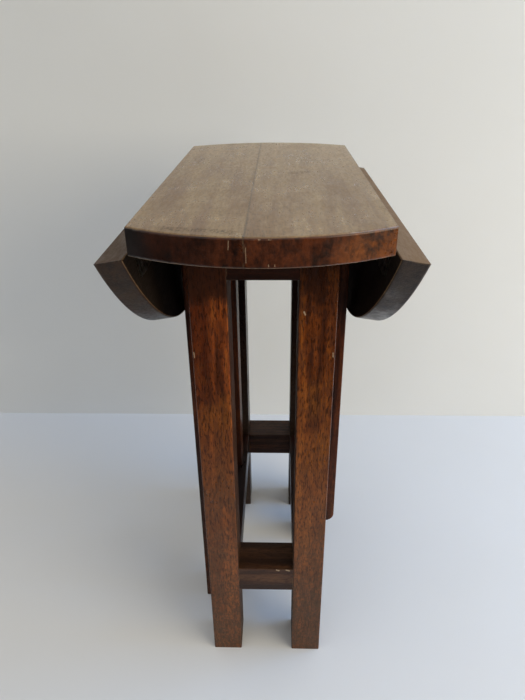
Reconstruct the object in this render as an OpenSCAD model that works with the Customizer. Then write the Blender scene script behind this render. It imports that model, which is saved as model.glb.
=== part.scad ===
// Small gateleg table: two D-shaped leaves hang beside a narrow board, over a mortised frame of four
// legs. A gate on each side swings out to carry its leaf. X runs across, Y along the board, Z up.

/* [Top] */
// Height of the table, floor to top surface
table_h = 600; // [450:5:760]
// Width of the fixed board
board_w = 220; // [180:2:300]
// Length of the board along its straight sides
board_side_l = 421; // [380:1:640]
// How far each end of the board bows out
end_bow = 31; // [10:1:60]
// Where the glue line between the two boards lies, from the middle
glue_x = -12; // [-40:1:40]
// Thickness of the board and the leaves
top_t = 25.5; // [18:0.5:35]
// Rounding of the outer rims
rim_r = 2.5; // [1:0.5:6]
// Chamfer that eases the square joint's edges
joint_ease = 0.8; // [0.4:0.1:2]

/* [Leaves] */
// Width of a leaf, from its joint to the middle of its rim
leaf_w = 126; // [90:1:160]
// Gap of the joint between a raised leaf and the board
leaf_gap = 1; // [0.6:0.1:3]
// Clearance between the hanging leaf and the closed gate
hang_gap = 4.5; // [1:0.5:20]

/* [Frame] */
// How far the board stands out beyond the legs, on each side
side_overhang = 39; // [34:0.5:50]
// Length of the frame over its legs
frame_l = 323; // [280:1:420]
// Width of a leg, across the table
leg_w = 37; // [28:0.5:46]
// Depth of a leg, along the table
leg_d = 45; // [32:0.5:60]
// Rounding of the legs' long edges
leg_r = 1.5; // [0.5:0.5:5]
// Height of the top rails
rail_h = 40; // [30:1:60]
// Thickness of the side rails and side stretchers
side_t = 22; // [16:0.5:28]
// How far the end rails stand back from the legs' faces
rail_setback = 1; // [0:0.5:6]
// Rounding of the rails' long edges
rail_r = 1; // [0.4:0.2:3]
// Height of the stretchers above the floor
stretcher_z = 115; // [60:1:180]
// Height of a stretcher
stretcher_h = 37.5; // [25:0.5:50]

/* [Joinery] */
// Thickness of the end rails' tenons
end_tenon_t = 12; // [8:0.5:16]
// Length of the end rails' tenons
end_tenon_l = 20; // [12:1:26]
// Thickness of the side rails' tenons
side_tenon_t = 10; // [6:0.5:12]
// Shoulder above and below every tenon
shoulder = 6; // [3:0.5:10]
// Glue room at a mortise's end
glue_room = 0.5; // [0.2:0.1:2]
// Clearance on a tenon's cheeks
tenon_fit = 0.05; // [0.02:0.01:0.2]
// Wood left between crossing tenons
tenon_web = 1.5; // [1:0.5:4]

/* [Gates] */
// Length of a gate over its post and leg
gate_l = 153; // [130:1:180]
// Thickness of the gate's leg, across the table
gate_t = 34; // [26:0.5:44]
// Depth of the gate's leg, along the table
gate_leg_d = 45; // [30:0.5:50]
// Depth of the pivot post, along the table
post_d = 38.5; // [28:0.5:44]
// Rounding of the post's outer ends
post_r = 12; // [4:1:16]
// Gap between the closed gate and the side rails
gate_gap = 0.5; // [0.3:0.1:3]
// Gap above and below the pivot post
swing_gap = 0.5; // [0.3:0.1:3]
// Gap under the gate's leg
foot_gap = 1; // [0.5:0.5:4]
// Height of the gate's rails
gate_rail_h = 35; // [25:1:50]
// Thickness of the gate's rails
gate_rail_t = 20; // [14:0.5:26]
// Distance of the gate's rails from the post's ends
gate_rail_inset = 20; // [14:1:60]
// Length of the gate rails' tenons
gate_tenon_l = 15; // [8:1:20]
// Thickness of the gate rails' tenons
gate_tenon_t = 10; // [6:0.5:12]
// Diameter of the pivot dowels
pivot_d = 8; // [6:0.5:10]
// Depth of a pivot dowel in each piece
pivot_in = 18; // [12:1:25]
// Distance of the pivot axis from the side rail's outer face and from the post's inner face
pivot_inset = 7.5; // [6:0.5:9]
// Radial clearance of a pivot dowel in its rail
pivot_fit = 0.08; // [0.03:0.01:0.1]

/* [Hinges] */
// Distance of a hinge's middle from the end of the board's straight side
hinge_end = 60.5; // [50:0.5:80]
// Length of a hinge
hinge_l = 50; // [40:1:70]
// Width of a hinge flap, from the pin
flap_w = 28; // [22:1:32]
// Thickness of a hinge flap
flap_t = 2; // [1.6:0.1:2.4]
// Radius of a hinge knuckle
knuckle_r = 2.8; // [2.4:0.1:3]
// Number of knuckles
knuckles = 5; // [3:2:7]
// Gap between knuckles, and around a knuckle
knuckle_gap = 0.3; // [0.2:0.1:0.5]
// Radius of a hinge pin
pin_r = 1.5; // [1.2:0.1:1.8]
// Radial clearance of the pin in the moving flap
pin_fit = 0.05; // [0.02:0.01:0.1]
// How far the pin lies outside the board's side
pin_out = 2; // [1:0.1:4]
// How far the pin lies under the board
pin_drop = 3.2; // [3.2:0.1:5]
// Number of screws in a flap
flap_screws = 3; // [2:1:4]
// Distance of a flap's screws from the pin
flap_screw_out = 16.8; // [12:0.2:22]

/* [Screws] */
// Diameter of a hinge screw
screw_d = 3.5; // [3:0.5:4]
// Diameter of its countersunk head
screw_head_d = 7; // [6:0.5:8]
// Length of a hinge screw
screw_l = 16; // [10:1:20]
// Width of the slot in its head
slot_w = 0.9; // [0.6:0.1:1.2]
// Depth of the slot in its head
slot_depth = 0.9; // [0.5:0.1:1.2]
// Diameter of the screws that hold the top
top_screw_d = 4.5; // [4:0.5:6]
// Diameter of their heads
top_head_d = 9; // [8:0.5:11]
// Height of their heads
top_head_h = 3; // [2:0.5:4]
// Depth of their counterbores in the side rails
counterbore = 12; // [6:1:20]
// How far they reach into the board
top_screw_in = 15; // [8:1:17]
// Distance of these screws from the legs' inner faces
top_screw_off = 24.5; // [8:0.5:28]
// Clearance around a screw's head
head_fit = 0.5; // [0.2:0.1:1]

/* [Hidden] */
$fn = 64;
SIDES = ["left", "right"];
ENDS = ["near", "far"];
CORNERS = [for (s = SIDES, e = ENDS) [s, e]];
GATE_PARTS = ["leg", "post", "rail_top", "rail_low", "pivot_top", "pivot_low"];
HINGE_PARTS = ["flap_fixed", "flap_moving", "pin", "screws_fixed", "screws_moving"];

eps = 0.01;
spare = 20;

// The top, seen in its raised state
under_z = table_h - top_t;
board_l = board_side_l + 2 * end_bow;
end_r = board_w * board_w / (8 * end_bow) + end_bow / 2;
leaf_r = board_side_l * board_side_l / (8 * leaf_w) + leaf_w / 2;
leaf_x = board_w / 2 + leaf_gap;

// The frame
leg_x = board_w / 2 - side_overhang - leg_w;
leg_y = frame_l / 2 - leg_d;
rail_z = under_z - rail_h;
stretcher_top = stretcher_z + stretcher_h;
side_out = leg_x + side_t;
end_rail_d = leg_d - rail_setback;
end_rail_y = leg_y + end_rail_d / 2;
side_tenon_l = end_rail_d / 2 - end_tenon_t / 2 - tenon_web - glue_room;
top_screw_y = leg_y - top_screw_off;
top_screw_l = rail_h - counterbore + top_screw_in;

// The gates, as they lie closed
gate_in = side_out + gate_gap;
gate_out = gate_in + gate_t;
pivot_x = side_out - pivot_inset;
pivot_y = -gate_l / 2 + post_d / 2;
post_x = pivot_x - pivot_inset;
post_z = stretcher_top + swing_gap;
post_top = rail_z - swing_gap;
gate_leg_y = gate_l / 2 - gate_leg_d;
post_y = -gate_l / 2 + post_d;
gate_rail_top_z = post_top - gate_rail_inset - gate_rail_h;
gate_rail_low_z = post_z + gate_rail_inset;

// The hinges: the leaf hangs until its inner face is hang_gap from the closed gate
pin_x = board_w / 2 + pin_out;
pin_z = under_z - pin_drop;
hinge_y = board_side_l / 2 - hinge_end;
leaf_drop = leaf_x + leaf_w - pin_x;
leaf_reach = norm([pin_drop, leaf_drop]);
lean = atan(pin_drop / leaf_drop) - asin((gate_out + hang_gap - pin_x) / leaf_reach);
hang_angle = 90 + lean;
knuckle_l = hinge_l / knuckles;
screw_step = hinge_l / flap_screws;

wood = "#6b4023";
wood_light = "#7d512c";
wood_dark = "#4d2e1c";
iron = "#5b564e";
steel = "#6e6a64";

// A rectangle with round corners, centred
module rounded_rect(w, h, r) {
    square([w - 2 * r, h], center = true);
    square([w, h - 2 * r], center = true);
    for (x = [-1, 1], y = [-1, 1])
        translate([x * (w / 2 - r), y * (h / 2 - r)]) circle(r);
}

// An upright bar with rounded long edges, from the floor of its own frame
module bar_z(w, d, h, r) {
    linear_extrude(h) rounded_rect(w, d, r);
}

// A level bar along X, centred
module bar_x(l, d, h, r) {
    rotate([90, 0, 90]) translate([0, 0, -l / 2]) bar_z(d, h, l, r);
}

// A level bar along Y, centred
module bar_y(l, w, h, r) {
    rotate([90, 0, 0]) translate([0, 0, -l / 2]) bar_z(w, h, l, r);
}

// A plank along Y at the height of the top, from x1 to x2, with eased edges
module plank(l, x1, x2) {
    c = joint_ease;
    translate([0, l / 2, under_z]) rotate([90, 0, 0]) linear_extrude(l)
        polygon([[x1 + c, 0], [x2 - c, 0], [x2, c], [x2, top_t - c],
                 [x2 - c, top_t], [x1 + c, top_t], [x1, top_t - c], [x1, c]]);
}

// A disc whose rim has rounded edges, lying at the height of the top
module rimmed_disc(r) {
    translate([0, 0, under_z])
        rotate_extrude() {
            square([r - rim_r, top_t]);
            translate([0, rim_r]) square([r, top_t - 2 * rim_r]);
            for (z = [rim_r, top_t - rim_r]) translate([r - rim_r, z]) circle(rim_r);
        }
}

// Places its children on the right side of the table, or turns them half round onto the left
module half_turn(side) {
    rotate([0, 0, side == "left" ? 180 : 0]) children();
}

// Mirrors what is drawn for the right side onto the left
module on_side(side) {
    mirror([side == "left" ? 1 : 0, 0, 0]) children();
}

// Mirrors what is drawn for the far end onto the near end
module on_end(end) {
    mirror([0, end == "near" ? 1 : 0, 0]) children();
}

// Swings what is drawn for a raised leaf on the right down to its hanging place
module hang() {
    translate([pin_x, 0, pin_z]) rotate([0, hang_angle, 0]) translate([-pin_x, 0, -pin_z]) children();
}

/* ---- Screws ---- */

// A countersunk screw, head down, with its head's face at z = 0 and a straight slot
module flat_screw(slot = true) {
    head_h = (screw_head_d - screw_d) / 2;
    difference() {
        union() {
            cylinder(h = head_h, d1 = screw_head_d, d2 = screw_d);
            cylinder(h = screw_l, d = screw_d);
        }
        if (slot)
            translate([-screw_head_d, -slot_w / 2, -eps])
                cube([2 * screw_head_d, slot_w, slot_depth + eps]);
    }
}

// Puts its children at each screw of a flap; dir is 1 on the leaf and -1 on the board
module at_flap_screws(dir) {
    for (i = [0 : flap_screws - 1]) {
        y = hinge_y + (i - (flap_screws - 1) / 2) * screw_step;
        translate([pin_x + dir * flap_screw_out, y, under_z - flap_t]) children();
    }
}

/* ---- Top ---- */

// The far half of a bowed board's outline, with its rounded rim
module bowed_half() {
    intersection() {
        translate([0, board_l / 2 - end_r, 0]) rimmed_disc(end_r);
        translate([-end_r, 0, under_z - spare]) cube([2 * end_r, board_l, top_t + 2 * spare]);
    }
}

// The fixed board in one piece, with the holes for the hinge and top screws
module whole_board() {
    difference() {
        intersection() {
            for (e = ENDS) on_end(e) bowed_half();
            plank(board_l + spare, -board_w / 2, board_w / 2);
        }
        for (c = CORNERS) on_side(c[0]) on_end(c[1]) {
            at_flap_screws(-1) flat_screw(slot = false);
            at_top_screw() cylinder(h = top_screw_l, d = top_screw_d);
        }
    }
}

// One of the two boards, to one side of the glue line
module board(side) {
    color(side == "left" ? wood : wood_light)
        intersection() {
            whole_board();
            translate([side == "left" ? glue_x - board_w : glue_x, -board_l, under_z - spare])
                cube([board_w, 2 * board_l, top_t + 2 * spare]);
        }
}

// A hanging leaf: a segment of a disc, square at its joint
module leaf(side) {
    color(wood)
        on_side(side) hang() difference() {
            intersection() {
                translate([leaf_x + leaf_w - leaf_r, 0, 0]) rimmed_disc(leaf_r);
                plank(board_side_l + spare, leaf_x, leaf_x + leaf_w + spare);
            }
            for (e = ENDS) on_end(e) at_flap_screws(1) flat_screw(slot = false);
        }
}

/* ---- Frame ---- */

// The tenon of an end rail, from the leg's inner face; grow makes it into its mortise
module end_tenon(z, h, grow = 0) {
    fit = grow * tenon_fit;
    translate([leg_x - eps, end_rail_y - end_tenon_t / 2 - fit, z + shoulder - fit])
        cube([end_tenon_l + grow * glue_room + eps, end_tenon_t + 2 * fit, h - 2 * shoulder + 2 * fit]);
}

// The tenon of a side rail, from the leg's inner face
module side_tenon(z, h, grow = 0) {
    fit = grow * tenon_fit;
    translate([leg_x + side_t / 2 - side_tenon_t / 2 - fit, leg_y - eps, z + shoulder - fit])
        cube([side_tenon_t + 2 * fit, side_tenon_l + grow * glue_room + eps, h - 2 * shoulder + 2 * fit]);
}

// A leg, with its four mortises
module leg(side, end) {
    color(wood)
        on_side(side) on_end(end) difference() {
            translate([leg_x + leg_w / 2, leg_y + leg_d / 2, 0]) bar_z(leg_w, leg_d, under_z, leg_r);
            for (rail = [[rail_z, rail_h], [stretcher_z, stretcher_h]]) {
                end_tenon(rail[0], rail[1], grow = 1);
                side_tenon(rail[0], rail[1], grow = 1);
            }
        }
}

// A rail or stretcher across one end
module end_bar(end, z, h) {
    on_end(end) {
        translate([0, end_rail_y, z + h / 2]) bar_x(2 * leg_x, end_rail_d, h, rail_r);
        for (s = SIDES) on_side(s) end_tenon(z, h);
    }
}

// A rail or stretcher along one side
module side_bar(z, h) {
    translate([leg_x + side_t / 2, 0, z + h / 2]) bar_y(2 * leg_y, side_t, h, rail_r);
    for (e = ENDS) on_end(e) side_tenon(z, h);
}

module end_rail(end) {
    color(wood_dark) end_bar(end, rail_z, rail_h);
}

module end_stretcher(end) {
    color(wood) end_bar(end, stretcher_z, stretcher_h);
}

// A side rail, bored from below for the pivot dowel and for the screws that hold the top
module side_rail(side) {
    color(wood_dark)
        half_turn(side) difference() {
            side_bar(rail_z, rail_h);
            at_pivot(rail_z) pivot_bore(1);
            for (e = ENDS) on_end(e) at_top_screw() {
                cylinder(h = rail_h, d = top_screw_d);
                translate([0, 0, -counterbore - eps])
                    cylinder(h = counterbore + eps, d = top_head_d + 2 * head_fit);
            }
        }
}

// A side stretcher, bored from above for the pivot dowel
module side_stretcher(side) {
    color(wood_dark)
        half_turn(side) difference() {
            side_bar(stretcher_z, stretcher_h);
            at_pivot(stretcher_top) pivot_bore(-1);
        }
}

// Puts its children at a top screw's head, on the counterbore's end
module at_top_screw() {
    translate([leg_x + side_t / 2, top_screw_y, rail_z + counterbore]) children();
}

// A screw that holds the top: its round head presses up against the counterbore's end
module top_screw(side, end) {
    color(steel)
        on_side(side) on_end(end) at_top_screw() {
            cylinder(h = top_screw_l, d = top_screw_d);
            translate([0, 0, -top_head_h]) cylinder(h = top_head_h, d = top_head_d);
        }
}

/* ---- Gates ---- */

// Puts its children on the pivot axis of the right gate, at a height
module at_pivot(z) {
    translate([pivot_x, pivot_y, z]) children();
}

// The bore that a pivot dowel runs in; dir is 1 upwards and -1 downwards
module pivot_bore(dir) {
    depth = pivot_in + glue_room;
    translate([0, 0, dir > 0 ? -eps : -depth]) cylinder(h = depth + eps, d = pivot_d + 2 * pivot_fit);
}

// The tenons at both ends of a gate's rail
module gate_tenons(z, grow = 0) {
    fit = grow * tenon_fit;
    l = gate_tenon_l + grow * glue_room;
    translate([gate_out - gate_t / 2 - gate_tenon_t / 2 - fit, post_y - l, z + shoulder - fit])
        cube([gate_tenon_t + 2 * fit, gate_leg_y - post_y + 2 * l, gate_rail_h - 2 * shoulder + 2 * fit]);
}

// The leg of a gate, which stands under the raised leaf
module gate_leg(side) {
    color(wood)
        half_turn(side) difference() {
            translate([gate_out - gate_t / 2, gate_leg_y + gate_leg_d / 2, foot_gap])
                bar_z(gate_t, gate_leg_d, under_z - swing_gap - foot_gap, leg_r);
            for (z = [gate_rail_top_z, gate_rail_low_z]) gate_tenons(z, grow = 1);
        }
}

// The pivot post, with its outer ends rounded off, between the side stretcher and the side rail
module gate_post(side) {
    w = gate_out - post_x;
    h = post_top - post_z;
    color(wood)
        half_turn(side) difference() {
            intersection() {
                translate([post_x + w / 2, pivot_y, post_z]) bar_z(w, post_d, h, leg_r);
                translate([post_x, pivot_y + post_d, post_z]) rotate([90, 0, 0]) linear_extrude(2 * post_d) {
                    square([w - post_r, h]);
                    translate([0, post_r]) square([w, h - 2 * post_r]);
                    for (z = [post_r, h - post_r]) translate([w - post_r, z]) circle(post_r);
                }
            }
            for (z = [gate_rail_top_z, gate_rail_low_z]) gate_tenons(z, grow = 1);
            at_pivot(post_z - eps) cylinder(h = pivot_in + eps, d = pivot_d);
            at_pivot(post_top - pivot_in) cylinder(h = pivot_in + eps, d = pivot_d);
        }
}

// One rail of a gate
module gate_rail(side, z) {
    color(wood_dark)
        half_turn(side) {
            translate([gate_out - gate_t / 2, (post_y + gate_leg_y) / 2, z + gate_rail_h / 2])
                bar_y(gate_leg_y - post_y, gate_rail_t, gate_rail_h, rail_r);
            gate_tenons(z);
        }
}

// A pivot dowel, glued in the post from face height z and running in a rail; dir points at the rail
module gate_pivot(side, z, dir) {
    l = 2 * pivot_in + swing_gap;
    color(wood_light)
        half_turn(side) at_pivot(dir > 0 ? z - pivot_in : z + pivot_in - l) cylinder(h = l, d = pivot_d);
}

/* ---- Hinges ---- */

// The stretch of knuckle number i along a hinge, as seen from above: [start, length]
function knuckle_span(i) = [hinge_y - hinge_l / 2 + i * knuckle_l + (i > 0 ? knuckle_gap / 2 : 0),
                            knuckle_l - (i > 0 && i < knuckles - 1 ? knuckle_gap : knuckle_gap / 2)];

// The knuckles of one flap, first being 0 for the fixed flap and 1 for the moving one
module knuckle_row(first) {
    knuckle_reach = knuckle_r + 2 * knuckle_gap;
    for (i = [first : 2 : knuckles - 1]) {
        span = knuckle_span(i);
        translate([pin_x, span[0], pin_z]) rotate([-90, 0, 0]) cylinder(h = span[1], r = knuckle_r);
        dir = first == 0 ? -1 : 1;
        translate([dir < 0 ? pin_x - knuckle_reach : pin_x, span[0], under_z - flap_t])
            cube([knuckle_reach, span[1], flap_t]);
    }
}

// A flap with its knuckles, bored for the pin and the screws, as it lies with the leaf raised
module flap(first) {
    dir = first == 0 ? -1 : 1;
    near_pin = knuckle_r + knuckle_gap;
    difference() {
        union() {
            translate([dir < 0 ? pin_x - flap_w : pin_x + near_pin, hinge_y - hinge_l / 2, under_z - flap_t])
                cube([flap_w - near_pin, hinge_l, flap_t]);
            knuckle_row(first);
        }
        translate([pin_x, hinge_y - hinge_l, pin_z]) rotate([-90, 0, 0])
            cylinder(h = 2 * hinge_l, r = pin_r + (first == 0 ? 0 : pin_fit));
        at_flap_screws(dir) flat_screw(slot = false);
    }
}

module hinge_flap_fixed(side, end) {
    color(iron) on_side(side) on_end(end) flap(0);
}

module hinge_flap_moving(side, end) {
    color(iron) on_side(side) hang() on_end(end) flap(1);
}

module hinge_pin(side, end) {
    color(steel)
        on_side(side) on_end(end) translate([pin_x, hinge_y - hinge_l / 2, pin_z])
            rotate([-90, 0, 0]) cylinder(h = hinge_l, r = pin_r);
}

module hinge_screws_fixed(side, end) {
    color(steel) on_side(side) on_end(end) at_flap_screws(-1) flat_screw();
}

module hinge_screws_moving(side, end) {
    color(steel) on_side(side) hang() on_end(end) at_flap_screws(1) flat_screw();
}

/* ---- The table ---- */

for (s = SIDES) {
    board(s);
    leaf(s);
    side_rail(s);
    side_stretcher(s);
    gate_leg(s);
    gate_post(s);
    gate_rail(s, gate_rail_top_z);
    gate_rail(s, gate_rail_low_z);
    gate_pivot(s, post_top, 1);
    gate_pivot(s, post_z, -1);
}
for (e = ENDS) {
    end_rail(e);
    end_stretcher(e);
}
for (c = CORNERS) {
    hinge = str("hinge_", c[0], "_", c[1]);
    leg(c[0], c[1]);
    top_screw(c[0], c[1]);
    hinge_flap_fixed(c[0], c[1]);
    hinge_flap_moving(c[0], c[1]);
    hinge_pin(c[0], c[1]);
    hinge_screws_fixed(c[0], c[1]);
    hinge_screws_moving(c[0], c[1]);
}
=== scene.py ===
import math
import bpy
from mathutils import Matrix, Vector

# A small gateleg table in dark varnished wood, dressed for a look at its narrow end.
# Everything is in metres, X across the table, Y along the board, Z up from the floor.

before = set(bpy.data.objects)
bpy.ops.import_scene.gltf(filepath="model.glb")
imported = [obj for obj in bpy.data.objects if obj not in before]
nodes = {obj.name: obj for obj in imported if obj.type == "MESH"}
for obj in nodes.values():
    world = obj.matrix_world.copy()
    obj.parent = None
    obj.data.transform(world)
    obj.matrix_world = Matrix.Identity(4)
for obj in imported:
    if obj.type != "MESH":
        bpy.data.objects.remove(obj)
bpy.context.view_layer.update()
print("frame loaded,", len(nodes), "nodes")


# Little helpers for node trees

def fromHex(text):
    parts = [int(text[i:i + 2], 16) / 255 for i in (1, 3, 5)]
    return tuple(p / 12.92 if p <= 0.04045 else ((p + 0.055) / 1.055) ** 2.4 for p in parts) + (1.0,)


def setInput(tree, node, key, value):
    if isinstance(value, bpy.types.NodeSocket):
        tree.links.new(value, node.inputs[key])
    else:
        node.inputs[key].default_value = value


def addNode(tree, kind, values=None, **settings):
    node = tree.nodes.new("ShaderNode" + kind)
    for key, value in settings.items():
        setattr(node, key, value)
    for key, value in (values or {}).items():
        setInput(tree, node, key, value)
    return node


def maths(tree, operation, a, b=0.0, clamp=False):
    return addNode(tree, "Math", {0: a, 1: b}, operation=operation, use_clamp=clamp).outputs[0]


def plus(tree, a, b):
    return maths(tree, "ADD", a, b)


def minus(tree, a, b):
    return maths(tree, "SUBTRACT", a, b)


def times(tree, a, b):
    return maths(tree, "MULTIPLY", a, b)


# A mask made to swing about zero, and scaled
def swing(tree, mask, amount):
    return times(tree, minus(tree, mask, 0.5), amount)


def vectorMaths(tree, operation, a, b=(0, 0, 0)):
    node = addNode(tree, "VectorMath", {0: a, 1: b}, operation=operation)
    return node.outputs["Value" if operation in ("DOT_PRODUCT", "LENGTH", "DISTANCE") else "Vector"]


def scaled(tree, vector, factor):
    return addNode(tree, "VectorMath", {0: vector, "Scale": factor}, operation="SCALE").outputs["Vector"]


def ease(tree, value, low, high, start=0.0, end=1.0):
    node = addNode(tree, "MapRange", {"Value": value, "From Min": low, "From Max": high,
                                      "To Min": start, "To Max": end}, interpolation_type="SMOOTHSTEP")
    return node.outputs["Result"]


def blend(tree, factor, a, b):
    return addNode(tree, "Mix", {0: factor, 6: a, 7: b}, data_type="RGBA").outputs[2]


# The colour given by hexText, laid over another where the mask is, as strongly as amount says
def tint(tree, colour, mask, amount, hexText):
    return blend(tree, times(tree, mask, amount), colour, fromHex(hexText))


def noise(tree, vector, scale, detail=3.0, roughness=0.55):
    return addNode(tree, "TexNoise", {"Vector": vector, "Scale": scale, "Detail": detail,
                                      "Roughness": roughness}).outputs["Fac"]


# Noise brought to a mask; a layer is (scale, detail, roughness, low, high)
def layerOf(tree, vector, layer):
    scale, detail, roughness, low, high = layer
    return ease(tree, noise(tree, vector, scale, detail, roughness), low, high)


def startGroup(name, inputs, outputs):
    group = bpy.data.node_groups.new(name, "ShaderNodeTree")
    for label, kind, value in inputs:
        socket = group.interface.new_socket(name=label, in_out="INPUT", socket_type="NodeSocket" + kind)
        if kind != "Vector":
            socket.default_value = value
    for label in outputs:
        group.interface.new_socket(name=label, in_out="OUTPUT", socket_type="NodeSocketFloat")
    return group, group.nodes.new("NodeGroupInput"), group.nodes.new("NodeGroupOutput")


def placeGroup(tree, group, values):
    node = tree.nodes.new("ShaderNodeGroup")
    node.node_tree = group
    for key, value in values.items():
        setInput(tree, node, key, value)
    return node


# An empty material and its tree
def newMaterial(name):
    material = bpy.data.materials.new(name)
    material.use_nodes = True
    material.node_tree.nodes.clear()
    return material, material.node_tree


def finishMaterial(tree, shader):
    out = addNode(tree, "OutputMaterial")
    tree.links.new(shader, out.inputs["Surface"])


# Effects that several materials share

grainLook = {
    "swayScale": 9.0, "swayDetail": 2.0,
    "shorten": 0.85,  # fibres and pores are stretched less than streaks
    "Streak": (75.0, 3.0, 0.6, 0.3, 0.7),
    "Fibre": (330.0, 4.0, 0.7, 0.38, 0.62),
    "Pore": (620.0, 2.0, 0.6, 0.50, 0.64),
    "Cloud": (19.0, 4.0, 0.6, 0.34, 0.66),
    "Fleck": (240.0, 3.0, 0.65, 0.35, 0.65),
    "seedSteps": (1.7, -2.3),
}


# Straight grain: broad streaks, fine fibres, open pores and slow cloudy mottling
def makeGrainGroup(look):
    tree, given, made = startGroup(
        "wood grain",
        [("Vector", "Vector", None), ("Stretch", "Vector", None), ("Seed", "Float", 0.0),
         ("Wander", "Float", 0.004)],
        ["Streak", "Fibre", "Pore", "Cloud", "Fleck"])
    seed, stretch = given.outputs["Seed"], given.outputs["Stretch"]
    stepY, stepZ = look["seedSteps"]
    shift = addNode(tree, "CombineXYZ", {0: seed, 1: times(tree, seed, stepY), 2: times(tree, seed, stepZ)})
    here = vectorMaths(tree, "ADD", given.outputs["Vector"], shift.outputs[0])
    sway = addNode(tree, "TexNoise", {"Vector": here, "Scale": look["swayScale"], "Detail": look["swayDetail"]})
    sway = vectorMaths(tree, "SUBTRACT", sway.outputs["Color"], (0.5, 0.5, 0.5))
    swayed = vectorMaths(tree, "ADD", here, scaled(tree, sway, given.outputs["Wander"]))
    along = vectorMaths(tree, "MULTIPLY", swayed, stretch)
    shorten = look["shorten"]
    milder = addNode(tree, "VectorMath", {0: stretch, 1: (shorten,) * 3, 2: (1 - shorten,) * 3},
                     operation="MULTIPLY_ADD").outputs["Vector"]
    short = vectorMaths(tree, "MULTIPLY", swayed, milder)
    spaces = {"Streak": along, "Fibre": short, "Pore": short, "Cloud": here, "Fleck": here}
    for label, space in spaces.items():
        tree.links.new(layerOf(tree, space, look[label]), made.inputs[label])
    return tree


wearLook = {
    "samples": 6,
    "edgeFrom": 0.015, "edgeTo": 0.16,  # how far the rounded normal turns from the true one
    "patchScale": 60.0, "patchDetail": 4.0, "patchRoughness": 0.7,
    "patchFrom": 0.34, "patchShift": 0.3, "patchSoft": 0.14,
}


# Where an arris has been rubbed: strong on convex edges, broken up along its length
def makeWearGroup(look):
    tree, given, made = startGroup(
        "arris wear",
        [("Vector", "Vector", None), ("Width", "Float", 0.002), ("Seed", "Float", 0.0),
         ("Break", "Float", 0.5)],
        ["Edge", "Worn"])
    soft = addNode(tree, "Bevel", {"Radius": given.outputs["Width"]}, samples=look["samples"]).outputs["Normal"]
    flat = addNode(tree, "NewGeometry").outputs["Normal"]
    turn = minus(tree, 1.0, vectorMaths(tree, "DOT_PRODUCT", soft, flat))
    edge = ease(tree, turn, look["edgeFrom"], look["edgeTo"])
    seed = given.outputs["Seed"]
    shift = addNode(tree, "CombineXYZ", {0: seed, 1: 0.0, 2: seed}).outputs[0]
    here = vectorMaths(tree, "ADD", given.outputs["Vector"], shift)
    patchy = noise(tree, here, look["patchScale"], look["patchDetail"], look["patchRoughness"])
    low = plus(tree, look["patchFrom"], times(tree, given.outputs["Break"], look["patchShift"]))
    high = plus(tree, low, look["patchSoft"])
    worn = addNode(tree, "MapRange", {"Value": patchy, "From Min": low, "From Max": high}).outputs["Result"]
    tree.links.new(edge, made.inputs["Edge"])
    tree.links.new(maths(tree, "MULTIPLY", edge, worn, clamp=True), made.inputs["Worn"])
    return tree


markLook = {"raggedScale": 900.0, "raggedDetail": 2.0, "raggedRoughness": 0.6, "solid": 0.35, "shortest": 1e-9}


# A dent, nick or scratch: a soft line from one point to another, or a spot where they are the same
def makeMarkGroup(look):
    tree, given, made = startGroup(
        "mark",
        [("Vector", "Vector", None), ("From", "Vector", None), ("To", "Vector", None),
         ("Radius", "Float", 0.001)],
        ["Mask"])
    vector, start = given.outputs["Vector"], given.outputs["From"]
    run = vectorMaths(tree, "SUBTRACT", given.outputs["To"], start)
    here = vectorMaths(tree, "SUBTRACT", vector, start)
    squared = maths(tree, "MAXIMUM", vectorMaths(tree, "DOT_PRODUCT", run, run), look["shortest"])
    share = maths(tree, "DIVIDE", vectorMaths(tree, "DOT_PRODUCT", here, run), squared, clamp=True)
    away = vectorMaths(tree, "DISTANCE", here, scaled(tree, run, share))
    uneven = noise(tree, vector, look["raggedScale"], look["raggedDetail"], look["raggedRoughness"])
    reach = times(tree, given.outputs["Radius"], times(tree, uneven, 2.0))
    mask = ease(tree, away, reach, times(tree, reach, look["solid"]))
    tree.links.new(mask, made.inputs["Mask"])
    return tree


grainGroup = makeGrainGroup(grainLook)
wearGroup = makeWearGroup(wearLook)
markGroup = makeMarkGroup(markLook)
print("shared effects made")


# Wood

alongX = (0.07, 1.0, 1.0)
alongY = (1.0, 0.07, 1.0)
alongZ = (1.0, 1.0, 0.07)

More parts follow.
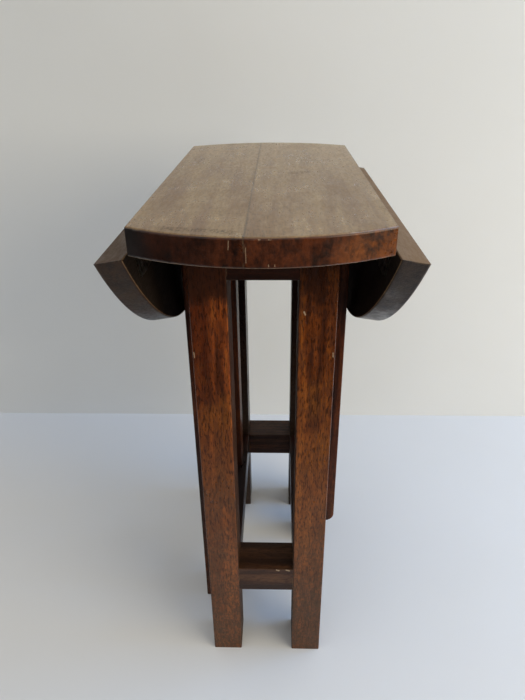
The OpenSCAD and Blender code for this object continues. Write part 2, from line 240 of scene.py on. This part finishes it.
# What all the wood shares unless a piece's own dictionary says otherwise. A tone is (axis, low, high,
# colour, amount), a face (direction, colour, amount, added roughness), a mark (from, to, radius).
plainLook = {
    "grain": alongZ, "wander": 0.004,
    "tones": [], "toneWander": 0.9,
    "cloudy": 0.25,
    "fibre": 0.35,
    "fleck": 0.12, "fleckColour": "#3a1c0d",
    "pore": 0.55, "poreColour": "#230f07",
    "rimFrom": 0.85, "rimTo": 0.5, "rimTones": [], "rimWander": 0.6,
    "mottle": (75.0, 6.0, 0.72, 0.36, 0.64), "mottleHeight": 0.5, "mottleFleck": 0.45,
    "faces": [], "faceFrom": 0.75, "faceTo": 0.95,
    "dustWander": 0.08, "dustThin": 0.55, "dustRough": 0.25,
    "wear": 0.5, "wearWidth": 0.0022, "wearBreak": 0.5, "wearRough": 0.25, "bare": "#8a6a48",
    "edgeDirt": 0.45, "edgeDark": "#2a130a",
    "darkMarks": [], "darkMark": 0.85, "darkDepth": 2.5,
    "scuffs": [], "scuffBreak": (330.0, 4.0, 0.7, 0.42, 0.6), "scuffRough": 0.2,
    "paleMarks": [], "paleMark": 0.8, "paleDepth": 1.0,
    "markColour": "#140a06", "paleColour": "#b9a083",
    "fibreHeight": -0.25, "poreHeight": -0.6, "fleckHeight": 0.3,
    "bump": 0.35, "bumpDepth": 0.0003,
    "rough": 0.36, "roughCloud": 0.12, "roughFibre": 0.10, "roughest": 0.95,
    "shine": 0.5, "ior": 1.5,
}


def lookOf(**changes):
    return {**plainLook, **changes}


# Tones that change across a piece, with a wandering border: sapwood and heartwood, and also bands of painted
# shade, painted reflection and painted sheen where a look lists them
def addTones(tree, colour, coords, cloud, tones, wander):
    for axis, low, high, hexText, amount in tones:
        level = addNode(tree, "SeparateXYZ", {0: coords}).outputs[axis]
        level = plus(tree, level, swing(tree, cloud, abs(high - low) * wander))
        colour = tint(tree, colour, ease(tree, level, low, high), amount, hexText)
    return colour


# All the marks of one kind in one mask, or None where there are none
def marksOf(tree, coords, marks):
    total = None
    for start, end, radius in marks:
        mask = placeGroup(tree, markGroup, {"Vector": coords, "From": start, "To": end,
                                            "Radius": radius}).outputs["Mask"]
        total = mask if total is None else maths(tree, "MAXIMUM", total, mask)
    return total


def woodMaterial(name, look):
    material, tree = newMaterial(name)
    place = addNode(tree, "TexCoord")
    coords, normal = place.outputs["Object"], place.outputs["Normal"]
    grain = placeGroup(tree, grainGroup, {"Vector": coords, "Stretch": look["grain"], "Seed": look["seed"],
                                          "Wander": look["wander"]}).outputs
    fibre, pore, cloud, fleck = grain["Fibre"], grain["Pore"], grain["Cloud"], grain["Fleck"]

    ramp = addNode(tree, "ValToRGB", {"Fac": grain["Streak"]})
    stops = ramp.color_ramp.elements
    stops[0].position, stops[0].color = 0.0, fromHex(look["dark"])
    stops[1].position, stops[1].color = 1.0, fromHex(look["light"])
    stops.new(0.5).color = fromHex(look["middle"])
    colour = addTones(tree, ramp.outputs["Color"], coords, cloud, look["tones"], look["toneWander"])
    colour = tint(tree, colour, cloud, look["cloudy"], look["cloud"])
    colour = tint(tree, colour, fibre, look["fibre"], look["dark"])
    colour = tint(tree, colour, fleck, look["fleck"], look["fleckColour"])
    colour = tint(tree, colour, pore, look["pore"], look["poreColour"])

    # the rim round the show face, told apart by the piece's own normal
    if "show" in look:
        facing = vectorMaths(tree, "DOT_PRODUCT", normal, Vector(look["show"]).normalized())
        rim = ease(tree, maths(tree, "ABSOLUTE", facing), look["rimFrom"], look["rimTo"])
        rimColour = fromHex(look["rimLight"])
        rimColour = addTones(tree, rimColour, coords, cloud, look["rimTones"], look["rimWander"])
        tall = vectorMaths(tree, "MULTIPLY", coords, (1.0, 1.0, look["mottleHeight"]))
        mottle = plus(tree, layerOf(tree, tall, look["mottle"]), times(tree, fleck, look["mottleFleck"]))
        mottle = maths(tree, "MULTIPLY", mottle, look["rimMottle"], clamp=True)
        colour = blend(tree, rim, colour, blend(tree, mottle, rimColour, fromHex(look["rimDark"])))

    # faces that were only stained, or darkened with painted shade (the inner sides of the near legs), told
    # apart in the same way
    matt = 0.0
    for direction, hexText, amount, dulled in look["faces"]:
        facing = vectorMaths(tree, "DOT_PRODUCT", normal, Vector(direction).normalized())
        turned = ease(tree, facing, look["faceFrom"], look["faceTo"])
        colour = tint(tree, colour, turned, amount, hexText)
        matt = plus(tree, matt, times(tree, turned, dulled))

    # dust and scuffing near the floor: (low, high, colour, amount)
    dusty = None
    if "dust" in look:
        low, high, hexText, amount = look["dust"]
        height = addNode(tree, "SeparateXYZ", {0: coords}).outputs[2]
        level = plus(tree, height, swing(tree, cloud, look["dustWander"]))
        dusty = times(tree, ease(tree, level, high, low), amount)
        dusty = times(tree, dusty, ease(tree, fleck, 0.0, 1.0, look["dustThin"], 1.0))
        colour = blend(tree, dusty, colour, fromHex(hexText))

    wear = placeGroup(tree, wearGroup, {"Vector": coords, "Width": look["wearWidth"], "Seed": look["seed"],
                                        "Break": look["wearBreak"]}).outputs
    colour = tint(tree, colour, wear["Edge"], look["edgeDirt"], look["edgeDark"])
    worn = times(tree, wear["Worn"], look["wear"])
    colour = blend(tree, worn, colour, fromHex(look["bare"]))

    height = times(tree, fibre, look["fibreHeight"])
    height = plus(tree, height, times(tree, pore, look["poreHeight"]))
    height = plus(tree, height, times(tree, fleck, look["fleckHeight"]))
    rough = plus(tree, look["rough"], swing(tree, cloud, look["roughCloud"]))
    rough = plus(tree, rough, swing(tree, fibre, look["roughFibre"]))
    rough = plus(tree, rough, times(tree, worn, look["wearRough"]))
    rough = plus(tree, rough, matt)
    if dusty is not None:
        rough = plus(tree, rough, times(tree, dusty, look["dustRough"]))

    dark = marksOf(tree, coords, look["darkMarks"])
    if dark is not None:
        colour = tint(tree, colour, dark, look["darkMark"], look["markColour"])
        height = minus(tree, height, times(tree, dark, look["darkDepth"]))
    scuffs = marksOf(tree, coords, look["scuffs"])
    if scuffs is not None:
        broken = times(tree, scuffs, layerOf(tree, coords, look["scuffBreak"]))
        colour = tint(tree, colour, broken, look["scuff"], look["markColour"])
        rough = plus(tree, rough, times(tree, broken, look["scuffRough"]))
    pale = marksOf(tree, coords, look["paleMarks"])
    if pale is not None:
        colour = tint(tree, colour, pale, look["paleMark"], look["paleColour"])
        height = minus(tree, height, times(tree, pale, look["paleDepth"]))

    bump = addNode(tree, "Bump", {"Height": height, "Strength": look["bump"], "Distance": look["bumpDepth"]})
    skin = addNode(tree, "BsdfPrincipled", {
        "Base Color": colour, "Roughness": maths(tree, "MINIMUM", rough, look["roughest"]),
        "Normal": bump.outputs["Normal"], "IOR": look["ior"], "Specular IOR Level": look["shine"]})
    finishMaterial(tree, skin.outputs["BSDF"])
    return material


def dress(material, *names):
    for name in names:
        slots = nodes[name].data.materials
        if len(slots) == 0:
            slots.append(material)
        for i in range(len(slots)):
            slots[i] = material


# The top: two boards and two leaves

topLook = lookOf(
    grain=alongY, dark="#7b5a38", middle="#8f7049", light="#a08359",
    # the tone below is painted reflection: the top is painted paler towards its far end, where it catches the
    # wall at a grazing angle
    tones=[(1, -0.05, 0.24, "#c2a47c", 0.6)],
    show=(0, 0, 1), rimDark="#140906", rimLight="#5e2b0b", rimMottle=0.66,
    # of the end-face tones, the last (orange, at the right-hand end) is painted light where the window light
    # falls on it
    rimTones=[(0, -0.005, -0.045, "#33170b", 0.8), (0, -0.075, -0.11, "#151313", 0.9),
              (0, 0.058, 0.098, "#8a4a14", 0.85)],
    cloudy=0.25, cloud="#6d5233", fibre=0.3, pore=0.32, fleck=0.3, fleckColour="#59402a",
    wear=0.55, wearWidth=0.003, wearBreak=0.55, bare="#8f7557", edgeDirt=0.75, edgeDark="#1d100a",
    rough=0.33, roughCloud=0.08, roughFibre=0.08, bump=0.16,
    faces=[((0, 0, -1), "#1d120b", 0.92, 0.4)],
    darkMarks=[((-0.0468, -0.1516, 0.6), (-0.0462, -0.1516, 0.6), 0.0017),
               ((-0.0561, -0.1093, 0.6), (-0.0561, -0.1093, 0.6), 0.0015),
               ((-0.0565, -0.1273, 0.6), (-0.0545, -0.1280, 0.6), 0.0012),
               ((-0.0486, -0.0508, 0.6), (-0.0478, -0.0508, 0.6), 0.0015),
               ((0.0190, -0.1490, 0.6), (0.0214, -0.1485, 0.6), 0.0013),
               ((0.0619, -0.0902, 0.6), (0.0619, -0.0902, 0.6), 0.0014),
               ((0.0633, 0.0051, 0.6), (0.0633, 0.0051, 0.6), 0.0018),
               ((0.0476, 0.0615, 0.6), (0.0476, 0.0615, 0.6), 0.0020),
               ((-0.0160, -0.0416, 0.6), (-0.0160, -0.0380, 0.6), 0.0012)],
    scuffs=[((-0.0780, -0.2150, 0.6), (-0.0230, -0.2270, 0.6), 0.0075),
            ((0.0300, 0.0070, 0.6), (0.0450, 0.0110, 0.6), 0.0090)],
    scuff=0.55,
    paleMarks=[((-0.0235, -0.2400, 0.5970), (-0.0240, -0.2400, 0.5900), 0.0005),
               ((-0.0105, -0.2412, 0.5920), (-0.0105, -0.2412, 0.5800), 0.0004),
               ((-0.0006, -0.2415, 0.5983), (0.0006, -0.2415, 0.5983), 0.0007),
               ((0.0070, -0.2415, 0.5983), (0.0090, -0.2415, 0.5983), 0.0006),
               ((0.0069, -0.2413, 0.5784), (0.0069, -0.2413, 0.5770), 0.0005),
               ((0.0117, -0.2413, 0.5784), (0.0117, -0.2413, 0.5770), 0.0005)],
    paleMark=0.5)
boardChanges = {
    "left": {"seed": 3.1},
    "right": {"seed": 7.4, "dark": "#7f5f3c", "middle": "#94754e", "light": "#a5885f"},
}
for side, changes in boardChanges.items():
    dress(woodMaterial("board wood " + side, {**topLook, **changes}), "board_" + side)

leafLook = lookOf(
    grain=alongY, dark="#735334", middle="#886743", light="#997850", rimDark="#150e09",
    cloudy=0.28, cloud="#5b4029", fibre=0.3, pore=0.34, fleck=0.25, fleckColour="#47311f",
    wear=0.5, wearWidth=0.003, wearBreak=0.5, bare="#8f7557", edgeDirt=0.6, edgeDark="#1d100a",
    rough=0.4, bump=0.3, shine=0.24, rimMottle=0.55)
lean = 0.163  # how far a hanging leaf leans in, for each unit down
leafChanges = {
    "left": {"way": 1, "seed": 12.0, "rimLight": "#38230f", "paintedRimSheen": "#4a3d30", "butt": "#4a3119"},
    "right": {"way": -1, "seed": 10.0, "rimLight": "#3a2c20", "paintedRimSheen": "#b4b2ae", "butt": "#7a5c3c"},
}
for side, changes in leafChanges.items():
    way = changes["way"]
    dress(woodMaterial("leaf wood " + side, {
        **leafLook, "seed": changes["seed"], "show": (-way, 0, -lean), "rimLight": changes["rimLight"],
        # painted sheen: the lower part of each leaf's rim is painted paler and greyer, strongest on the right
        # leaf
        "rimTones": [(2, 0.53, 0.47, changes["paintedRimSheen"], 0.75)],
        "faces": [((way, 0, lean), "#140b07", 0.95, 0.5),
                  ((-lean * way, 0, 1), changes["butt"], 0.85, 0.1)]}), "leaf_" + side)
print("top dressed")

# The frame

legPaler = (2, 0.44, 0.35, "#a0602c", 0.45)
# painted shade: the top of each near leg is darkened where the board overhangs it
legPaintedShade = (2, 0.480, 0.550, "#0f0603", 0.93)
legLook = lookOf(
    dark="#3f1d0c", middle="#93481a", light="#b96a28", cloud="#6a3413", fibre=0.5, pore=0.7,
    rough=0.3, shine=0.26, dust=(-0.02, 0.44, "#463627", 0.86))
# painted shade: the far legs get near-black copies of the leg colours, for the table's shadow they stand in
farLegPaintedShade = {"dark": "#120906", "middle": "#241008", "light": "#35190c", "cloud": "#140a06"}
legChanges = {
    "leg_left_near": {
        # the inner side face gets painted shade
        "seed": 21.3, "faces": [((1, 0, 0), "#1c0f08", 0.75, 0.3)],
        "tones": [(0, -0.048, -0.060, "#45190c", 0.7), legPaler, legPaintedShade],
        "paleMarks": [((-0.0694, -0.1615, 0.4585), (-0.0690, -0.1615, 0.4530), 0.0006)]},
    "leg_right_near": {
        # the inner side face gets painted shade
        "seed": 25.8, "faces": [((-1, 0, 0), "#1c0f08", 0.75, 0.3)],
        "dark": "#301509", "middle": "#7d3f14", "light": "#a55f20",
        "tones": [(0, 0.052, 0.064, "#57290f", 0.5), legPaler, legPaintedShade],
        "paleMarks": [((0.0390, -0.1615, 0.5030), (0.0405, -0.1615, 0.5000), 0.0011),
                      ((0.0688, -0.1615, 0.4590), (0.0690, -0.1615, 0.4540), 0.0006)]},
    "leg_left_far": {"seed": 31.9, **farLegPaintedShade},
    "leg_right_far": {"seed": 37.2, **farLegPaintedShade},
}
for name, changes in legChanges.items():
    dress(woodMaterial(name.replace("_", " ") + " wood", {**legLook, **changes}), name)

# painted shade: the rails and side stretchers get near-black colours for the shade under the top; the end
# stretchers put most of their own colours over these
railPaintedShadeLook = lookOf(dark="#140906", middle="#2c130a", light="#3f1d0e", cloud="#160b07", shine=0.25)
nearStretcher = {
    "dark": "#2a190e", "middle": "#4a2e19", "light": "#624128", "cloud": "#2b1a0f", "wear": 0.7,
    "paleMarks": [((0.0135, -0.1610, 0.1510), (0.0165, -0.1610, 0.1500), 0.0013),
                  ((0.0255, -0.1610, 0.1510), (0.0290, -0.1610, 0.1500), 0.0014)]}
farStretcher = {"dark": "#24130a", "middle": "#4a2a17", "light": "#5f3a22", "shine": 0.15}
railChanges = [
    ("end rail wood", alongX, 41.0, {}, ["end_rail_near", "end_rail_far"]),
    ("side rail wood", alongY, 43.0, {}, ["side_rail_left", "side_rail_right"]),
    ("end stretcher wood", alongX, 45.0, nearStretcher, ["end_stretcher_near"]),
    ("far stretcher wood", alongX, 46.0, farStretcher, ["end_stretcher_far"]),
    ("side stretcher wood", alongY, 47.0, {}, ["side_stretcher_left", "side_stretcher_right"]),
]
for name, grain, seed, changes, pieces in railChanges:
    dress(woodMaterial(name, {**railPaintedShadeLook, **changes, "grain": grain, "seed": seed}), *pieces)
print("frame dressed")

# The gates

gateLook = lookOf(dark="#210e07", middle="#5a290f", light="#7d4119", cloud="#2b130a", shine=0.22,
                  dust=(0.0, 0.40, "#2b1c11", 0.7))
dowelChanges = {"dark": "#6d4a2b", "middle": "#8d6840", "light": "#a98556", "cloud": "#5d422a",
                "edgeDirt": 0.2}
for side, seed in (("left", 51.0), ("right", 57.0)):
    gate = "gate_" + side
    dress(woodMaterial("gate " + side + " wood", {**gateLook, "seed": seed}), gate + "_leg", gate + "_post")
    dress(woodMaterial("gate " + side + " rail wood", {**gateLook, "grain": alongY, "seed": seed + 2}),
          gate + "_rail_top", gate + "_rail_low")
    dress(woodMaterial("gate " + side + " dowel wood", {**gateLook, **dowelChanges, "seed": seed + 4}),
          gate + "_pivot_top", gate + "_pivot_low")

# Hinges and screws

plainIron = {
    "dull": (180.0, 5.0, 0.65, 0.35, 0.65), "spots": (420.0, 4.0, 0.7, 0.56, 0.66),
    "brushScale": 260.0, "brushDetail": 2.0, "brushStretch": (1.0, 12.0, 1.0), "brushHeight": 0.4,
    "wearWidth": 0.0006, "wearBreak": 0.2, "wear": 0.6, "bright": "#9b958b",
    "rusted": 0.7, "rustDulls": 0.75, "dullRough": 0.2, "rustRough": 0.25,
    "bump": 0.25, "bumpDepth": 0.0002,
}
hingeIron = {**plainIron, "seed": 61.0, "rough": 0.42,
             "steel": "#5c574f", "tarnish": "#2f2822", "rust": "#5a2f17"}
screwIron = {**plainIron, "seed": 67.0, "rough": 0.36,
             "steel": "#77726a", "tarnish": "#3d352c", "rust": "#5f3519"}


def ironMaterial(name, look):
    material, tree = newMaterial(name)
    coords = addNode(tree, "TexCoord").outputs["Object"]
    here = vectorMaths(tree, "ADD", coords, (look["seed"], look["seed"], 0.0))
    dull = layerOf(tree, here, look["dull"])
    spots = layerOf(tree, here, look["spots"])
    brushed = vectorMaths(tree, "MULTIPLY", here, look["brushStretch"])
    brush = noise(tree, brushed, look["brushScale"], look["brushDetail"])
    wear = placeGroup(tree, wearGroup, {"Vector": coords, "Width": look["wearWidth"], "Seed": look["seed"],
                                        "Break": look["wearBreak"]})
    colour = blend(tree, dull, fromHex(look["steel"]), fromHex(look["tarnish"]))
    colour = tint(tree, colour, wear.outputs["Worn"], look["wear"], look["bright"])
    colour = tint(tree, colour, spots, look["rusted"], look["rust"])
    metal = minus(tree, 1.0, times(tree, spots, look["rustDulls"]))
    rough = plus(tree, look["rough"], times(tree, dull, look["dullRough"]))
    rough = plus(tree, rough, times(tree, spots, look["rustRough"]))
    height = plus(tree, times(tree, brush, look["brushHeight"]), spots)
    bump = addNode(tree, "Bump", {"Height": height, "Strength": look["bump"], "Distance": look["bumpDepth"]})
    skin = addNode(tree, "BsdfPrincipled", {"Base Color": colour, "Metallic": metal, "Roughness": rough,
                                            "Normal": bump.outputs["Normal"]})
    finishMaterial(tree, skin.outputs["BSDF"])
    return material


iron = ironMaterial("hinge iron", hingeIron)
screwSteel = ironMaterial("screw steel", screwIron)
for name in nodes:
    if "_flap_" in name or name.endswith("_pin"):
        dress(iron, name)
    elif "screw" in name:
        dress(screwSteel, name)
print("gates, hinges and screws dressed")

# Floor and wall

roomLook = {
    "floor": "#d8dade", "wall": "#ecedec", "stain": "#c4bfb4", "stained": 0.08,
    "cloud": (2.5, 3.0, 0.5), "cloudFrom": 0.3, "cloudTo": 0.7, "rough": 0.75,
    "frontY": -4.0, "nearY": -0.50, "wallY": 0.40, "backY": 3.90, "halfWidth": 3.2, "height": 2.6,
}


# Paper-like surface that can't be seen from behind, so that it hides nothing in a view from there
def paperMaterial(name, hexText, seed):
    material, tree = newMaterial(name)
    coords = addNode(tree, "TexCoord").outputs["Object"]
    here = vectorMaths(tree, "ADD", coords, (seed, 0.0, 0.0))
    cloudy = noise(tree, here, *roomLook["cloud"])
    amount = ease(tree, cloudy, roomLook["cloudFrom"], roomLook["cloudTo"], 0.0, roomLook["stained"])
    colour = blend(tree, amount, fromHex(hexText), fromHex(roomLook["stain"]))
    skin = addNode(tree, "BsdfPrincipled", {"Base Color": colour, "Roughness": roomLook["rough"]})
    clear = addNode(tree, "BsdfTransparent")
    behind = addNode(tree, "NewGeometry").outputs["Backfacing"]
    either = addNode(tree, "MixShader", {0: behind, 1: skin.outputs["BSDF"], 2: clear.outputs["BSDF"]})
    finishMaterial(tree, either.outputs["Shader"])
    return material


def sheetOf(name, corners, material):
    mesh = bpy.data.meshes.new(name)
    mesh.from_pydata(corners, [], [tuple(range(len(corners)))])
    mesh.materials.append(material)
    thing = bpy.data.objects.new(name, mesh)
    bpy.context.scene.collection.objects.link(thing)
    return thing


def floorOf(name, nearY, farY):
    half = roomLook["halfWidth"]
    return sheetOf(name, [(-half, nearY, 0), (half, nearY, 0), (half, farY, 0), (-half, farY, 0)], floorPaper)


floorPaper = paperMaterial("floor paper", roomLook["floor"], 0.0)
wallPaper = paperMaterial("wall paint", roomLook["wall"], 5.0)
half, wallY, top = roomLook["halfWidth"], roomLook["wallY"], roomLook["height"]
floorOf("floor", roomLook["nearY"], wallY)
sheetOf("wall", [(-half, wallY, 0), (half, wallY, 0), (half, wallY, top), (-half, wallY, top)], wallPaper)
outer = floorOf("outer_floor", roomLook["frontY"], roomLook["nearY"])
outer.visible_glossy = False  # the varnish sees the dark end of the room there
floorOf("back_floor", wallY, roomLook["backY"])

# Light: a window, the sky through it, and a pale room that is dark towards the floor

lightLook = {
    "window": {"place": (1.70, -1.15, 1.10), "aim": (0, 0, 0.3), "size": (1.7, 1.2), "power": 26.5,
               "colour": "#fff1d4"},
    "skylight": {"place": (1.50, 0.20, 1.80), "aim": (0, 0.1, 0.2), "size": (1.0, 1.0), "power": 21.0,
                 "colour": "#86c0ff"},
    "low": "#0c0b0a", "room": "#fffefa", "roomFrom": -0.02, "roomTo": 0.95, "roomStrength": 0.98,
    "shown": "#dfe2e6",
}


def areaLight(name, look):
    lamp = bpy.data.lights.new(name, "AREA")
    lamp.shape = "RECTANGLE"
    lamp.size, lamp.size_y = look["size"]
    lamp.energy = look["power"]
    lamp.color = fromHex(look["colour"])[:3]
    thing = bpy.data.objects.new(name, lamp)
    thing.location = look["place"]
    thing.rotation_mode = "QUATERNION"
    thing.rotation_quaternion = (Vector(look["aim"]) - Vector(look["place"])).to_track_quat("-Z", "Y")
    bpy.context.scene.collection.objects.link(thing)


def roomWorld(look):
    world = bpy.data.worlds.new("room")
    world.use_nodes = True
    tree = world.node_tree
    tree.nodes.clear()
    lookingUp = addNode(tree, "SeparateXYZ", {0: addNode(tree, "TexCoord").outputs["Generated"]}).outputs[2]
    tone = blend(tree, ease(tree, lookingUp, look["roomFrom"], look["roomTo"]), fromHex(look["low"]),
                 fromHex(look["room"]))
    dim = addNode(tree, "Background", {"Color": tone, "Strength": look["roomStrength"]})
    pale = addNode(tree, "Background", {"Color": fromHex(look["shown"]), "Strength": 1.0})
    ray = addNode(tree, "LightPath")
    both = addNode(tree, "MixShader", {0: ray.outputs["Is Camera Ray"], 1: dim.outputs[0], 2: pale.outputs[0]})
    out = addNode(tree, "OutputWorld")
    tree.links.new(both.outputs[0], out.inputs["Surface"])
    return world


for name in ("window", "skylight"):
    areaLight(name, lightLook[name])
bpy.context.scene.world = roomWorld(lightLook)
bpy.context.scene.view_settings.view_transform = "Standard"
print("room and light ready")

# Camera: it looks along Y and down, turned and rolled a little

cameraLook = {"place": (0.01457, -0.66002, 0.72682), "turn": -1.789, "down": 27.981, "roll": -0.649,
              "lens": 29.37, "sensor": 36, "clipStart": 0.01}

turn, down, roll = (math.radians(cameraLook[key]) for key in ("turn", "down", "roll"))
ahead = Vector((math.sin(turn) * math.cos(down), math.cos(turn) * math.cos(down), -math.sin(down)))
right = Vector((math.cos(turn), -math.sin(turn), 0))
up = right.cross(ahead)
across = math.cos(roll) * right + math.sin(roll) * up
upright = math.cos(roll) * up - math.sin(roll) * right
lens = bpy.data.cameras.new("camera")
lens.lens, lens.sensor_width, lens.sensor_fit = cameraLook["lens"], cameraLook["sensor"], "AUTO"
lens.clip_start = cameraLook["clipStart"]
camera = bpy.data.objects.new("camera", lens)
facing = Matrix([[across[i], upright[i], -ahead[i]] for i in range(3)]).to_4x4()
camera.matrix_world = Matrix.Translation(cameraLook["place"]) @ facing
bpy.context.scene.collection.objects.link(camera)
bpy.context.scene.camera = camera
print("camera set")
